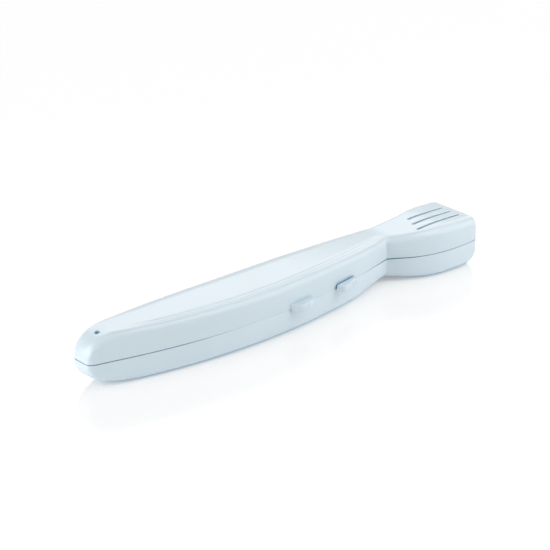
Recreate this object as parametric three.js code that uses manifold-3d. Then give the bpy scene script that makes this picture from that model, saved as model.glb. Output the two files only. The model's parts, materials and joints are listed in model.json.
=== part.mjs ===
// Toothbrush case: two moulded shells that open like a clam on two pinned hinges.
import * as THREE from "three";
import { mergeVertices } from "three/addons/utils/BufferGeometryUtils.js";
import Module from "manifold-3d";

const wasm = await Module();
wasm.setup();

// Frame while building, in millimetres.
// X runs from the nose, at zero, to the head. Z runs up from the floor.
// Y is zero on the hinge axis, and the finger tabs are on the minus side.

// Overall sizes
const caseLength = 205;
const baseHeight = 11.2;
const lidHeight = 11.3;
const wall = 1.8;
const partingGap = 0.36;

// Plan: widths are measured forward from the straight back wall
const bodyWidth = 28;
const headWidth = 27.6;
const neckX = 158.8;
const neckWidth = 16.9;
const noseFrontWidth = 17.1;
const noseBackSetIn = 5.2;
const backRun = 60;
const noseFrontCorner = 3;
const noseBackCorner = 2;
const headFrontCorner = 1.8;
const headBackCorner = 4.5;

// Control points of the plan curves, as shares of a run and of a width
const bodyFrontShares = [[0.013, 0.455], [0.382, 1.579]];
const headFrontShares = [[0.142, 0.707], [0.301, 1.123], [1, 0.98]];
const backBendShare = 0.32;

// The back wall draws in a little behind the neck
const backWaist = 1.8;
const backWaistX = 176;
const backWaistNoseRun = 26;
const backWaistHeadRun = 16;

// Side view: how the crown of the lid and the bottom of the base fall away
const lidNoseRun = 13;
const lidNoseEdge = 3;
const lidEndRadius = 2.5;
const lidDip = 1.2;
const lidDipX = 162;
const lidDipNoseRun = 54;
const lidDipHeadRun = 22;
const headDroop = 0.7;
const headDroopRun = 24;
const baseNoseRun = 24;
const baseNoseEdge = 2.7;
const baseEndRadius = 6;
const baseLift = 2.2;
const baseLiftX = 155;
const baseLiftNoseRun = 22;
const baseLiftHeadRun = 28;

// Cross-section: the lid's edges change from the body to the head
const lidBodyFrontRadius = 3;
const lidHeadFrontRadius = 4;
const lidBodyBackRadius = 4;
const lidHeadBackRadius = 2.2;
const baseSideRadius = 3.5;
const wallDraft = 0.2;
const leastRadius = 0.4;
const radiusHeightShare = 0.8;
const radiusWidthShare = 0.4;

// Raised panel on the lid: two fine steps with a ledge between them in front, and one step behind
const panelStep = 0.2;
const panelStepRun = 0.4;
const panelStepRunShare = 0.1;
const panelLedge = 1.4;
const panelLedgeShare = 0.3;
const panelStartX = 17;
const panelFadeIn = 16;
const panelFadeOut = 8;

// Lip on the base and the step in the lid that covers it
const rimStep = 0.8;
const lipClearance = 0.3;
const lipHeight = 1.4;
const lipRoot = 1;

// Hinges
const hingeCount = 2;
const hingePitch = 62;
const hingeMiddleX = 116;
const axisOffset = 2.5;
const knuckleRadius = 2.1;
const knuckleLength = 5;
const knuckleGap = 0.35;
const knuckleRootDepth = 0.7;
const knuckleRootDrop = 2.6;
const pinRadius = 0.8;
const pinClearance = 0.12;
const pinChamfer = 0.2;

// Finger tabs
const tabReach = 3.5;
const tabDrop = 1.3;
const tabCorner = 2;
const tabRootDepth = 0.7;
const lidTabStart = 93.2;
const lidTabLength = 13.1;
const lidTabRise = 2;
const lidTabNoseSlant = 3;
const lidTabHeadSlant = 2.4;
const baseTabStart = 121;
const baseTabLength = 13.4;
const baseTabRise = 1.7;
const baseTabNoseSlant = 1.4;
const baseTabHeadSlant = 2.2;
const lidTabClearance = 0.35;
const baseTabClearance = 0.9;

// Vents in the head and hole in the nose
const slotWidth = 1.2;
const slotPitch = 5.25;
const slotMiddleInset = 14.5;
const slotEndInset = 4.7;
const slotLength = 23.9;
const slotStagger = 2.35;
const noseHoleRadius = 1;
const noseHoleX = 7.85;
const noseHoleInset = 11.35;

// Low ribs that keep the brush off the wet floor of the base
const ribPlaces = [38, 92, 146];
const ribThickness = 1.2;
const ribHeight = 3;
const ribDish = 1.6;

// Smoothness
const curveSteps = 160;
const filletSteps = 5;
const noseSteps = 9;
const bodySteps = 18;
const headSteps = 8;
const endSteps = 7;
const roundSides = 24;
const overrun = 1;

// Levels that follow from the sizes above
const totalHeight = baseHeight + lidHeight;
const baseRim = baseHeight - partingGap / 2;
const lidRim = baseHeight + partingGap / 2;
const backWallY = -axisOffset;
const headLength = caseLength - neckX;

const shellColour = 0xc9dfe9;
const pinColour = 0xb9bec2;

function shellMaterial(name) {
  const material = new THREE.MeshStandardMaterial({ color: shellColour, roughness: 0.22, metalness: 0 });
  material.name = name;
  return material;
}

function pinMaterial() {
  return new THREE.MeshStandardMaterial({ color: pinColour, roughness: 0.3, metalness: 1 });
}

// Solids and meshes

function solidFrom(geometry) {
  const plain = geometry.index ? geometry.toNonIndexed() : geometry.clone();
  plain.deleteAttribute("normal");
  plain.deleteAttribute("uv");
  const merged = mergeVertices(plain);
  return new wasm.Manifold(new wasm.Mesh({
    numProp: 3,
    vertProperties: new Float32Array(merged.attributes.position.array),
    triVerts: new Uint32Array(merged.index.array),
  }));
}

function meshFrom(solid, name, material) {
  const result = solid.getMesh();
  const geometry = new THREE.BufferGeometry();
  geometry.setAttribute("position", new THREE.BufferAttribute(result.vertProperties, 3));
  geometry.setIndex(new THREE.BufferAttribute(result.triVerts, 1));
  geometry.computeVertexNormals();
  const mesh = new THREE.Mesh(geometry, material);
  mesh.name = name;
  return mesh;
}

// A closed skin over a row of sections, each with the same number of [y, z] points.
function loftSolid(stations, sectionAt) {
  const rings = stations.map((x) => sectionAt(x).map(([y, z]) => new THREE.Vector2(y, z)));
  if (!THREE.ShapeUtils.isClockWise(rings[0])) rings.forEach((ring) => ring.reverse());
  const count = rings[0].length;
  const positions = [];
  rings.forEach((ring, i) => ring.forEach((point) => positions.push(stations[i], point.x, point.y)));
  const index = [];
  for (let i = 0; i + 1 < rings.length; i += 1) {
    for (let j = 0; j < count; j += 1) {
      const a = i * count + j;
      const b = i * count + ((j + 1) % count);
      index.push(a, a + count, b, b, a + count, b + count);
    }
  }
  const last = (rings.length - 1) * count;
  THREE.ShapeUtils.triangulateShape(rings[0], []).forEach(([a, b, c]) => index.push(a, c, b));
  THREE.ShapeUtils.triangulateShape(rings[rings.length - 1], []).forEach(([a, b, c]) => {
    index.push(last + a, last + b, last + c);
  });
  const geometry = new THREE.BufferGeometry();
  geometry.setAttribute("position", new THREE.Float32BufferAttribute(positions, 3));
  geometry.setIndex(index);
  return solidFrom(geometry);
}

// Plan and side curves

// Reads a curve of (along, value) points as value at a given place along it.
function lookup(curves) {
  const points = curves.flatMap((curve) => curve.getPoints(curveSteps));
  return (x) => {
    const next = points.findIndex((point) => point.x >= x);
    if (next < 0) return points[points.length - 1].y;
    if (next === 0) return points[0].y;
    const before = points[next - 1];
    const after = points[next];
    const span = after.x - before.x;
    const part = span > 0 ? (x - before.x) / span : 1;
    return before.y + part * (after.y - before.y);
  };
}

const bodyControl = bodyFrontShares.map(([run, width]) => new THREE.Vector2(run * neckX, width * bodyWidth));
const headControl = headFrontShares.map(
  ([run, width]) => new THREE.Vector2(neckX + run * headLength, width * headWidth),
);
const neckPoint = new THREE.Vector2(neckX, neckWidth);
const frontWidth = lookup([
  new THREE.CubicBezierCurve(new THREE.Vector2(0, noseFrontWidth), ...bodyControl, neckPoint),
  new THREE.CubicBezierCurve(neckPoint, ...headControl),
]);
const backSetIn = lookup([
  new THREE.QuadraticBezierCurve(
    new THREE.Vector2(0, noseBackSetIn),
    new THREE.Vector2(backRun * backBendShare, 0),
    new THREE.Vector2(backRun, 0),
  ),
]);

// Quarter of an ellipse at an end: how far it has fallen at a distance from that end.
function endFall(distance, run, drop) {
  if (distance >= run) return 0;
  const share = (run - Math.max(distance, 0)) / run;
  return drop * (1 - Math.sqrt(1 - share * share));
}

// One smooth dip, deepest at its middle, with its own run on each side.
function softDip(x, middle, runBefore, runAfter, depth) {
  const share = Math.abs(x - middle) / (x < middle ? runBefore : runAfter);
  return share < 1 ? (depth * (1 + Math.cos(Math.PI * share))) / 2 : 0;
}

// Changes a size of the body into a size of the head just past the neck.
function pastNeck(x, onBody, onHead) {
  const share = Math.min(Math.max((x - neckX) / lidDipHeadRun, 0), 1);
  return onBody + share * (onHead - onBody);
}

// Height of the panel's steps, which fade in after the nose and out before the neck
function panelStepAt(x) {
  const after = Math.min(Math.max((x - panelStartX) / panelFadeIn, 0), 1);
  const before = Math.min(Math.max((neckX - x) / panelFadeOut, 0), 1);
  return panelStep * after * before;
}

function cornerFall(distance, radius, inset) {
  const left = Math.max(radius - inset, leastRadius);
  return endFall(distance, left, left);
}

function frontY(x, inset) {
  const corners = cornerFall(x - inset, noseFrontCorner, inset)
    + cornerFall(caseLength - inset - x, headFrontCorner, inset);
  return backWallY - frontWidth(x) + inset + corners;
}

function backY(x, inset) {
  const corners = cornerFall(x - inset, noseBackCorner, inset)
    + cornerFall(caseLength - inset - x, headBackCorner, inset);
  const waist = softDip(x, backWaistX, backWaistNoseRun, backWaistHeadRun, backWaist);
  return backWallY - backSetIn(x) - waist - inset - corners;
}

function lidCrown(x, inset) {
  const droopShare = Math.max(0, 1 - (caseLength - x) / headDroopRun);
  const noseFall = endFall(x - inset, lidNoseRun - inset, lidHeight - lidNoseEdge - inset);
  const endRound = cornerFall(caseLength - inset - x, lidEndRadius, inset);
  const dip = softDip(x, lidDipX, lidDipNoseRun, lidDipHeadRun, lidDip);
  return totalHeight - inset - noseFall - endRound - dip - headDroop * droopShare * droopShare;
}

function baseBottom(x, inset) {
  const noseFall = endFall(x - inset, baseNoseRun - inset, baseHeight - baseNoseEdge - inset);
  const endRound = cornerFall(caseLength - inset - x, baseEndRadius, inset);
  const lift = softDip(x, baseLiftX, baseLiftNoseRun, baseLiftHeadRun, baseLift);
  return inset + noseFall + endRound + lift;
}

// Places of the sections: close together round the nose and the end, with one on the neck.
function stationsFor(inset) {
  const noseEnd = inset + lidNoseRun;
  const headEnd = caseLength - inset - baseEndRadius;
  const places = [];
  for (let i = 0; i < noseSteps; i += 1) {
    places.push(inset + lidNoseRun * (1 - Math.cos((Math.PI / 2) * (i / noseSteps))));
  }
  for (let i = 0; i < bodySteps; i += 1) places.push(noseEnd + ((neckX - noseEnd) * i) / bodySteps);
  for (let i = 0; i < headSteps; i += 1) places.push(neckX + ((headEnd - neckX) * i) / headSteps);
  for (let i = 0; i <= endSteps; i += 1) {
    places.push(headEnd + baseEndRadius * Math.sin((Math.PI / 2) * (i / endSteps)));
  }
  return places;
}

// Trough-like section from the rim to the crown. Each long edge is rounded, up to its own level.
function troughSection(x, inset, rim, frontEdge, backEdge) {
  const front = frontY(x, inset);
  const back = backY(x, inset);
  const up = Math.sign(frontEdge.level - rim);
  const height = Math.abs(frontEdge.level - rim);
  const most = Math.min(height * radiusHeightShare, (back - front) * radiusWidthShare);
  const lean = wallDraft * (height / lidHeight);
  const corner = ({ radius, level }) => Array.from({ length: filletSteps + 1 }, (_, i) => {
    const angle = (Math.PI / 2) * (i / filletSteps);
    const round = Math.min(Math.max(radius - inset, leastRadius), most);
    return [lean + round * (1 - Math.cos(angle)), level - up * round * (1 - Math.sin(angle))];
  });
  const frontCorner = corner(frontEdge).map(([along, z]) => [front + along, z]);
  const backCorner = corner(backEdge).map(([along, z]) => [back - along, z]).reverse();
  return [[front, rim], ...frontCorner, ...backCorner, [back, rim]];
}

// Points of the raised panel, between the ends of the two rounded edges
function panelPoints(frontEnd, backEnd, crown, step) {
  const run = Math.min(panelStepRun, (backEnd - frontEnd) * panelStepRunShare);
  const ledge = Math.min(panelLedge, (backEnd - frontEnd) * panelLedgeShare);
  return [
    [frontEnd + run, crown - step],
    [frontEnd + run + ledge, crown - step],
    [frontEnd + 2 * run + ledge, crown],
    [backEnd - run, crown],
  ];
}

function lidSection(x, inset, rim, step) {
  const crown = lidCrown(x, inset);
  const frontEdge = { radius: pastNeck(x, lidBodyFrontRadius, lidHeadFrontRadius), level: crown - 2 * step };
  const backEdge = { radius: pastNeck(x, lidBodyBackRadius, lidHeadBackRadius), level: crown - step };
  return troughSection(x, inset, rim, frontEdge, backEdge);
}

function lidOuter() {
  return loftSolid(stationsFor(0), (x) => {
    const step = panelStepAt(x);
    const section = lidSection(x, 0, lidRim, step);
    const half = section.length / 2;
    const panel = panelPoints(section[half - 1][0], section[half][0], lidCrown(x, 0), step);
    return [...section.slice(0, half), ...panel, ...section.slice(half)];
  });
}

function lidHollow() {
  return loftSolid(stationsFor(wall), (x) => lidSection(x, wall, lidRim - overrun, 0));
}

function baseLoft(inset, rim) {
  return loftSolid(stationsFor(inset), (x) => {
    const edge = { radius: baseSideRadius, level: baseBottom(x, inset) };
    return troughSection(x, inset, rim, edge, edge);
  });
}

// Upright block with the plan of the case, drawn in by the inset.
function planBlock(inset, low, high) {
  return loftSolid(stationsFor(inset), (x) => {
    const front = frontY(x, inset);
    const back = backY(x, inset);
    return [[front, low], [front, high], [back, high], [back, low]];
  });
}

function boxSolid(low, high) {
  const size = new THREE.Vector3().subVectors(high, low);
  const geometry = new THREE.BoxGeometry(size.x, size.y, size.z);
  geometry.translate((low.x + high.x) / 2, (low.y + high.y) / 2, (low.z + high.z) / 2);
  return solidFrom(geometry);
}

// Round bar along X
function barSolid(radius, startX, length, y, z) {
  const geometry = new THREE.CylinderGeometry(radius, radius, length, roundSides);
  geometry.rotateZ(Math.PI / 2);
  geometry.translate(startX + length / 2, y, z);
  return solidFrom(geometry);
}

// Hinges

function hingeStart(number) {
  const middle = hingeMiddleX + (number - (hingeCount - 1) / 2) * hingePitch;
  return middle - knuckleLength * 1.5 - knuckleGap;
}

function hingeLength() {
  return 3 * knuckleLength + 2 * knuckleGap;
}

// Barrel with a root that runs into the back wall, below the rim for the base and above it for the lid.
function knuckle(startX, side) {
  const rootY = backWallY - knuckleRootDepth;
  const rimZ = side < 0 ? baseRim : lidRim;
  const wideZ = baseHeight + side * knuckleRadius;
  const root = new THREE.Shape();
  root.moveTo(rootY, rimZ);
  root.lineTo(0, rimZ);
  root.lineTo(0, wideZ);
  root.lineTo(rootY, wideZ + side * knuckleRootDrop);
  root.closePath();
  const web = new THREE.ExtrudeGeometry(root, { depth: knuckleLength, bevelEnabled: false });
  // The shape's x, y and depth become Y, Z and X.
  web.applyMatrix4(new THREE.Matrix4().set(
    0, 0, 1, startX,
    1, 0, 0, 0,
    0, 1, 0, 0,
    0, 0, 0, 1,
  ));
  return solidFrom(web).add(barSolid(knuckleRadius, startX, knuckleLength, 0, baseHeight));
}

function knuckleBore(startX) {
  const length = hingeLength() + 2 * overrun;
  return barSolid(pinRadius + pinClearance, startX - overrun, length, 0, baseHeight);
}

function hingePin(number) {
  const length = hingeLength();
  const profile = [
    [0, 0],
    [pinRadius - pinChamfer, 0],
    [pinRadius, pinChamfer],
    [pinRadius, length - pinChamfer],
    [pinRadius - pinChamfer, length],
    [0, length],
  ];
  const geometry = new THREE.LatheGeometry(profile.map(([r, y]) => new THREE.Vector2(r, y)), roundSides);
  geometry.rotateZ(-Math.PI / 2);
  geometry.translate(hingeStart(number), 0, baseHeight);
  return solidFrom(geometry);
}

// Finger tabs

// A lug on the front wall, slanted at both ends, with rounded outer corners.
function tabLug(startX, length, noseSlant, headSlant, rise) {
  const endX = startX + length;
  const wallStart = frontY(startX, 0);
  const wallEnd = frontY(endX, 0);
  const startY = wallStart - tabReach;
  const endY = wallEnd - tabReach;
  const noseCorner = 1 - tabCorner / Math.hypot(noseSlant, tabReach);
  const headCorner = 1 - tabCorner / Math.hypot(headSlant, tabReach);
  const noseX = startX + noseSlant;
  const headX = endX - headSlant;
  const lug = new THREE.Shape();
  lug.moveTo(startX, wallStart + tabRootDepth);
  lug.lineTo(startX, wallStart);
  lug.lineTo(startX + noseSlant * noseCorner, wallStart - tabReach * noseCorner);
  lug.quadraticCurveTo(noseX, startY, noseX + tabCorner, startY);
  lug.lineTo(headX - tabCorner, endY);
  lug.quadraticCurveTo(headX, endY, endX - headSlant * headCorner, wallEnd - tabReach * headCorner);
  lug.lineTo(endX, wallEnd);
  lug.lineTo(endX, wallEnd + tabRootDepth);
  lug.closePath();
  const depth = tabDrop + rise;
  const geometry = new THREE.ExtrudeGeometry(lug, { depth, bevelEnabled: false, curveSegments: filletSteps });
  geometry.translate(0, 0, baseHeight - tabDrop);
  return solidFrom(geometry);
}

function lidTab() {
  const lug = tabLug(lidTabStart, lidTabLength, lidTabNoseSlant, lidTabHeadSlant, lidTabRise);
  return lug.subtract(planBlock(-lidTabClearance, baseHeight - tabDrop - overrun, lidRim));
}

function baseTab() {
  const lug = tabLug(baseTabStart, baseTabLength, baseTabNoseSlant, baseTabHeadSlant, baseTabRise);
  return lug.subtract(planBlock(-baseTabClearance, baseRim, baseHeight + baseTabRise + overrun));
}

// Vents

function ventSlot(number) {
  const endX = caseLength - slotEndInset;
  const startX = endX - slotLength + number * slotStagger;
  const y = backWallY - slotMiddleInset + number * slotPitch;
  const half = slotWidth / 2;
  const outline = new THREE.Shape();
  outline.moveTo(startX + half, y - half);
  outline.lineTo(endX - half, y - half);
  outline.absarc(endX - half, y, half, -Math.PI / 2, Math.PI / 2, false);
  outline.lineTo(startX + half, y + half);
  outline.absarc(startX + half, y, half, Math.PI / 2, -Math.PI / 2, false);
  const geometry = new THREE.ExtrudeGeometry(outline, {
    depth: lidHeight + overrun,
    bevelEnabled: false,
    curveSegments: filletSteps,
  });
  geometry.translate(0, 0, lidRim + lipHeight);
  return solidFrom(geometry);
}

function noseHole() {
  const geometry = new THREE.CylinderGeometry(noseHoleRadius, noseHoleRadius, lidHeight, roundSides);
  geometry.rotateX(Math.PI / 2);
  geometry.translate(noseHoleX, backWallY - noseHoleInset, lidRim + lipHeight + lidHeight / 2);
  return solidFrom(geometry);
}

// Ribs: what the cutter of the base's hollow leaves standing

function ribBlock(x) {
  const floor = baseBottom(x, wall);
  const front = frontY(x, 0);
  const back = backY(x, 0);
  const top = floor + ribHeight;
  const block = boxSolid(
    new THREE.Vector3(x - ribThickness / 2, front, 0),
    new THREE.Vector3(x + ribThickness / 2, back, top),
  );
  // A shallow dish for the handle: its radius follows from its depth and the width between the walls.
  const halfChord = (back - front) / 2 - wall - baseSideRadius;
  const dishRadius = (halfChord * halfChord + ribDish * ribDish) / (2 * ribDish);
  const y = (front + back) / 2;
  const z = top - ribDish + dishRadius;
  return block.subtract(barSolid(dishRadius, x - ribThickness, 2 * ribThickness, y, z));
}

// Shells

function baseShell() {
  const outer = baseLoft(0, baseRim);
  const lip = planBlock(rimStep + lipClearance, baseRim - lipRoot, baseRim + lipHeight);
  let hollow = baseLoft(wall, baseRim + lipHeight + overrun);
  for (const place of ribPlaces) hollow = hollow.subtract(ribBlock(place));
  let shell = outer.add(lip).subtract(hollow).add(baseTab());
  for (let number = 0; number < hingeCount; number += 1) {
    const start = hingeStart(number);
    const far = start + 2 * (knuckleLength + knuckleGap);
    shell = shell.add(knuckle(start, -1)).add(knuckle(far, -1)).subtract(knuckleBore(start));
  }
  return shell;
}

function lidShell() {
  const step = planBlock(rimStep, lidRim - overrun, lidRim + lipHeight + lipClearance);
  let shell = lidOuter().subtract(lidHollow()).subtract(step).add(lidTab());
  for (const number of [-1, 0, 1]) shell = shell.subtract(ventSlot(number));
  shell = shell.subtract(noseHole());
  for (let number = 0; number < hingeCount; number += 1) {
    const start = hingeStart(number);
    shell = shell.add(knuckle(start + knuckleLength + knuckleGap, 1)).subtract(knuckleBore(start));
  }
  return shell;
}

// Assembly, with its origin on the floor below the middle of the case

const assembly = new THREE.Group();
assembly.add(meshFrom(baseShell(), "base_shell", shellMaterial("base plastic")));
assembly.add(meshFrom(lidShell(), "lid_shell", shellMaterial("lid plastic")));
["hinge_pin_nose_side", "hinge_pin_head_side"].forEach((name, number) => {
  assembly.add(meshFrom(hingePin(number), name, pinMaterial()));
});
const extent = new THREE.Box3().setFromObject(assembly);
const middle = extent.getCenter(new THREE.Vector3());
assembly.position.set(-middle.x, -middle.y, -extent.min.z);

export default assembly;
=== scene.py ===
import json
import math

import bmesh
import bpy
import numpy as np
from bpy.props import FloatProperty, FloatVectorProperty, PointerProperty
from bpy.types import Operator, Panel, PropertyGroup
from mathutils import Matrix, Vector


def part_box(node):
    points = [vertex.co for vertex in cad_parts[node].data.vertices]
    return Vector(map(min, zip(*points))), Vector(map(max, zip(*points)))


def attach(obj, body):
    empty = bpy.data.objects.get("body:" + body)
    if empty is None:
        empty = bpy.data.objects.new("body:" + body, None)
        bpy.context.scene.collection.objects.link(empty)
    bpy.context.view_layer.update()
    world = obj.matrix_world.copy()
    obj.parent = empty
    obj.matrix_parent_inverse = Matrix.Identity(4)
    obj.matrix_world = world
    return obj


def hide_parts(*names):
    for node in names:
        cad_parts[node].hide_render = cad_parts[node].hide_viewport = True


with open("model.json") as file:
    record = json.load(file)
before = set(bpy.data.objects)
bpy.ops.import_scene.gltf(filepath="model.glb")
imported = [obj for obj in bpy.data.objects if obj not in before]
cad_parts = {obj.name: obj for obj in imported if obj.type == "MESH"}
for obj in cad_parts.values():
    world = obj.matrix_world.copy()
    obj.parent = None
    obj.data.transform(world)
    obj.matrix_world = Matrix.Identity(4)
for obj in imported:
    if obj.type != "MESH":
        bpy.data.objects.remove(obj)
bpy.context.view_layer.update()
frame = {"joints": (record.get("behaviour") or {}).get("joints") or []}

bl_info = {
    "name": "Toothbrush case",
    "version": (1, 0, 0),
    "blender": (4, 5, 0),
    "location": "View3D > Sidebar > Toothbrush case",
    "description": "Builds a hinged moulded case for one toothbrush, with its stage",
    "category": "Add Mesh",
}

MM = 0.001

# Places taken from the frame: the ends and the top of the lid, the pins and the hinge axis
LID_LOW, LID_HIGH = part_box("lid_shell")
PIN_BOXES = {name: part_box(name) for name in ("hinge_pin_nose_side", "hinge_pin_head_side")}
HINGE = Vector(frame["joints"][0]["pos_m"])
LENGTH = LID_HIGH.x - LID_LOW.x
LID_TOP = LID_HIGH.z

# Pieces are made with X from the nose end, Y from the hinge axis and Z from the floor, then placed here
PLACE = Matrix.Translation((LID_LOW.x, HINGE.y, 0.0))


def length_property(name, default, description):
    """A size of the case in metres."""
    return FloatProperty(name=name, description=description, default=default, unit="LENGTH", precision=5)


def colour_property(name, default, description):
    """A colour of the case."""
    return FloatVectorProperty(
        name=name, description=description, default=default, subtype="COLOR", min=0, max=1
    )


class CaseSizes(PropertyGroup):
    """Sizes of the two shells that a user may change."""

    wall: length_property("Wall", 1.8 * MM, "Thickness of both shells")
    gap: length_property("Parting gap", 0.36 * MM, "Height of the gap between the closed shells")
    body_width: length_property("Body width", 28 * MM, "Width that the plan of the body follows")
    head_width: length_property("Head width", 27.6 * MM, "Width that the plan of the head follows")
    neck_width: length_property("Neck width", 16.9 * MM, "Width at the neck")
    neck_x: length_property("Neck place", 158.8 * MM, "Distance of the neck from the nose end")
    lid_radius: length_property("Lid edge radius", 3 * MM, "Radius of the lid's front edge along the body")
    head_radius: length_property("Head edge radius", 4 * MM, "Radius of the lid's front edge on the head")
    base_radius: length_property("Base edge radius", 3.5 * MM, "Radius of the base's long edges")
    rim_round: length_property("Rim rounding", 0.32 * MM, "Radius that softens the rims")
    panel_step: length_property("Panel step", 0.2 * MM, "Height of each fine step round the lid's top panel")
    slot_width: length_property("Vent width", 1.35 * MM, "Width of each vent slot")
    hole_radius: length_property("Hole radius", 1.1 * MM, "Radius of the hole in the nose")
    tab_reach: length_property("Tab reach", 3.49 * MM, "How far the finger tabs stand out")
    tab_round: length_property("Tab rounding", 0.75 * MM, "Radius of the finger tabs' edges")


class CaseColours(PropertyGroup):
    """Colours of the case and of the stage."""

    shell: colour_property("Shell", (0.668, 0.772, 0.836), "Pale blue of the moulded plastic")
    shell_shade: colour_property(
        "Shell shade", (0.649, 0.76, 0.828), "Deeper blue in the plastic's faint mottling"
    )
    # Painted shade: a deeper blue, mixed in where the plastic is shut in, stands for the shade and scattered
    # light in crevices, slots and the parting gap
    crevice_shade_painted: colour_property(
        "Shell in crevices", (0.2, 0.48, 0.68), "Blue that the plastic takes in narrow gaps"
    )
    pin: colour_property("Pin", (0.72, 0.73, 0.74), "Drawn steel of the hinge pins")
    floor: colour_property("Floor", (0.97, 0.975, 0.98), "White of the surface under the case")


# Plan of the case, in metres
NOSE_WIDTH = 17.1 * MM
NOSE_SET_IN = 5.2 * MM
BACK_RUN = 60 * MM
BACK_BEND_SHARE = 0.32
NOSE_FRONT_CORNER = 3 * MM
NOSE_BACK_CORNER = 2 * MM
HEAD_FRONT_CORNER = 1.8 * MM
HEAD_BACK_CORNER = 4.5 * MM
AXIS_OFFSET = 2.5 * MM

# Control points of the front curves, as shares of a run and of a width
BODY_FRONT_SHARES = ((0.013, 0.455), (0.382, 1.579))
HEAD_FRONT_SHARES = ((0.142, 0.707), (0.301, 1.123), (1, 0.98))

# Dips: middle, run towards the nose, run towards the head and depth
BACK_WAIST = (176 * MM, 26 * MM, 16 * MM, 1.8 * MM)
LID_DIP = (162 * MM, 54 * MM, 22 * MM, 1.45 * MM)
LID_DIP_ROUND = 1.5 * MM
LID_DIP_POWER = 1.5
BASE_LIFT = (155 * MM, 22 * MM, 28 * MM, 2.2 * MM)

# Side view: how the crown of the lid and the bottom of the base fall away at the ends
LID_NOSE_RUN = 13 * MM
LID_NOSE_EDGE = 3 * MM
LID_END_RADIUS = 2.5 * MM
HEAD_DROOP = 0.7 * MM
HEAD_DROOP_RUN = 24 * MM
BASE_NOSE_RUN = 24 * MM
BASE_NOSE_EDGE = 2.7 * MM
BASE_END_RADIUS = 6 * MM

# Parting gap: places as shares of the length, and the share of the gap that is open at each
PARTING_PLACE_SHARES = (0, 0.19, 0.26, 0.335, 0.585, 0.68, 0.72, 0.765, 0.795, 0.86, 0.92, 1)
PARTING_GAP_SHARES = (1, 0.95, 0.4, 0.15, 0.12, 0.2, 0.6, 1.4, 1.4, 0.7, 0.75, 0.55)

# Cross-section
WALL_DRAFT = 0.2 * MM
LEAST_RADIUS = 0.4 * MM
RADIUS_HEIGHT_SHARE = 0.8
RADIUS_WIDTH_SHARE = 0.4
LID_BODY_BACK_RADIUS = 4 * MM
LID_HEAD_BACK_RADIUS = 2.2 * MM

# Rim, lip and hinge sizes
RIM_STEP = 0.8 * MM
LIP_CLEARANCE = 0.3 * MM
LIP_HEIGHT = 1.4 * MM
LIP_ROOT = 1 * MM
LIP_ROUND = 0.2 * MM
KNUCKLE_RADIUS = 2.1 * MM
KNUCKLE_LENGTH = 5 * MM
KNUCKLE_GAP = 0.35 * MM
KNUCKLE_ROOT_DEPTH = 0.7 * MM
KNUCKLE_ROOT_DROP = 2.6 * MM
KNUCKLE_ROUND = 0.25 * MM
PIN_RADIUS = 0.8 * MM
PIN_CLEARANCE = 0.12 * MM
PIN_DOME = 0.25 * MM

# Finger tabs: start along the case, length, slant of each end and rise above the hinge line
LID_TAB = (93.2 * MM, 13.1 * MM, 3 * MM, 2.4 * MM, 2 * MM)
BASE_TAB = (121 * MM, 13.4 * MM, 1.4 * MM, 2.2 * MM, 1.7 * MM)
TAB_DROP = 1.3 * MM
TAB_CORNER = 2 * MM
TAB_ROOT_DEPTH = 0.9 * MM
LID_TAB_CLEARANCE = 0.35 * MM
BASE_TAB_CLEARANCE = 0.72 * MM

# Vents, hole and ribs
SLOT_PITCH = 5.25 * MM
SLOT_INSET = 14.5 * MM
SLOT_END_INSET = 4.7 * MM
SLOT_END = LENGTH - SLOT_END_INSET
SLOT_LENGTH = 23.9 * MM
SLOT_STAGGER = 2.35 * MM
SLOT_ROUND = 0.25 * MM
SLOT_TAPER_SHARE = 0.3
SLOT_LEAST_HALF = 0.02 * MM
HOLE_X = 7.85 * MM
HOLE_INSET = 11.35 * MM
HOLE_ROUND = 0.3 * MM
HOLE_DEPTH = 3 * MM
HOLE_SLOPE_REACH = 0.2 * MM
RIB_PLACES = (38 * MM, 92 * MM, 146 * MM)
RIB_THICKNESS = 1.2 * MM
RIB_HEIGHT = 3 * MM
RIB_DISH = 1.6 * MM
RIB_ROOT = 0.5 * MM

# Raised panel on the lid: two fine steps with a ledge between them in front, and one step behind
PANEL_START = 17 * MM
PANEL_FADE_IN = 16 * MM
PANEL_FADE_OUT = 5 * MM
PANEL_STEP_RUN = 0.4 * MM
PANEL_STEP_RUN_SHARE = 0.1
PANEL_LEDGE = 1.4 * MM
PANEL_LEDGE_SHARE = 0.3

# How far a cutter runs past what it cuts, and how near two points are before they become one
OVERRUN = 1 * MM
MERGE_DISTANCE = 0.002 * MM

# Smoothness of the meshes
CURVE_POINTS = 400
FILLET_STEPS = 12
HOLLOW_FILLET_STEPS = 8
ROUND_SIDES = 48
NOSE_STATIONS = 26
BODY_STATIONS = 96
NECK_STATIONS = 25
HEAD_STATIONS = 28
NECK_REACH = 2.4 * MM
PANEL_RISE_SHARES = (0.2, 0.4, 0.6, 0.8, 1.0)
PANEL_POINTS = 8
KNUCKLE_POINTS = 30
TAB_CORNER_POINTS = 11
ROUNDING_SEGMENTS = 3
TAB_ROUND_SEGMENTS = 6
SLOT_END_POINTS = 9
SLOT_POINTS = 24
SLOT_LIP_POINTS = 6
HOLE_LIP_POINTS = 7
RIB_DISH_POINTS = 17
PIN_DOME_POINTS = 6

# Angles from which an edge is shaded as sharp, is rounded, and counts as a rim
SHADING_ANGLE = math.radians(32)
ROUNDING_ANGLE = math.radians(35)
RIM_ANGLE = math.radians(60)


def sizes():
    """The sizes in the sidebar."""
    return bpy.context.scene.case_sizes


def colours():
    """The colours in the sidebar."""
    return bpy.context.scene.case_colours


# Outline of the case


def bezier(points, steps=CURVE_POINTS):
    """Points along a Bezier curve of any order."""
    share = np.linspace(0, 1, steps)[:, None]
    rows = [np.tile(np.asarray(point, float), (steps, 1)) for point in points]
    while len(rows) > 1:
        rows = [one + (two - one) * share for one, two in zip(rows, rows[1:])]
    return rows[0]


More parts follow.
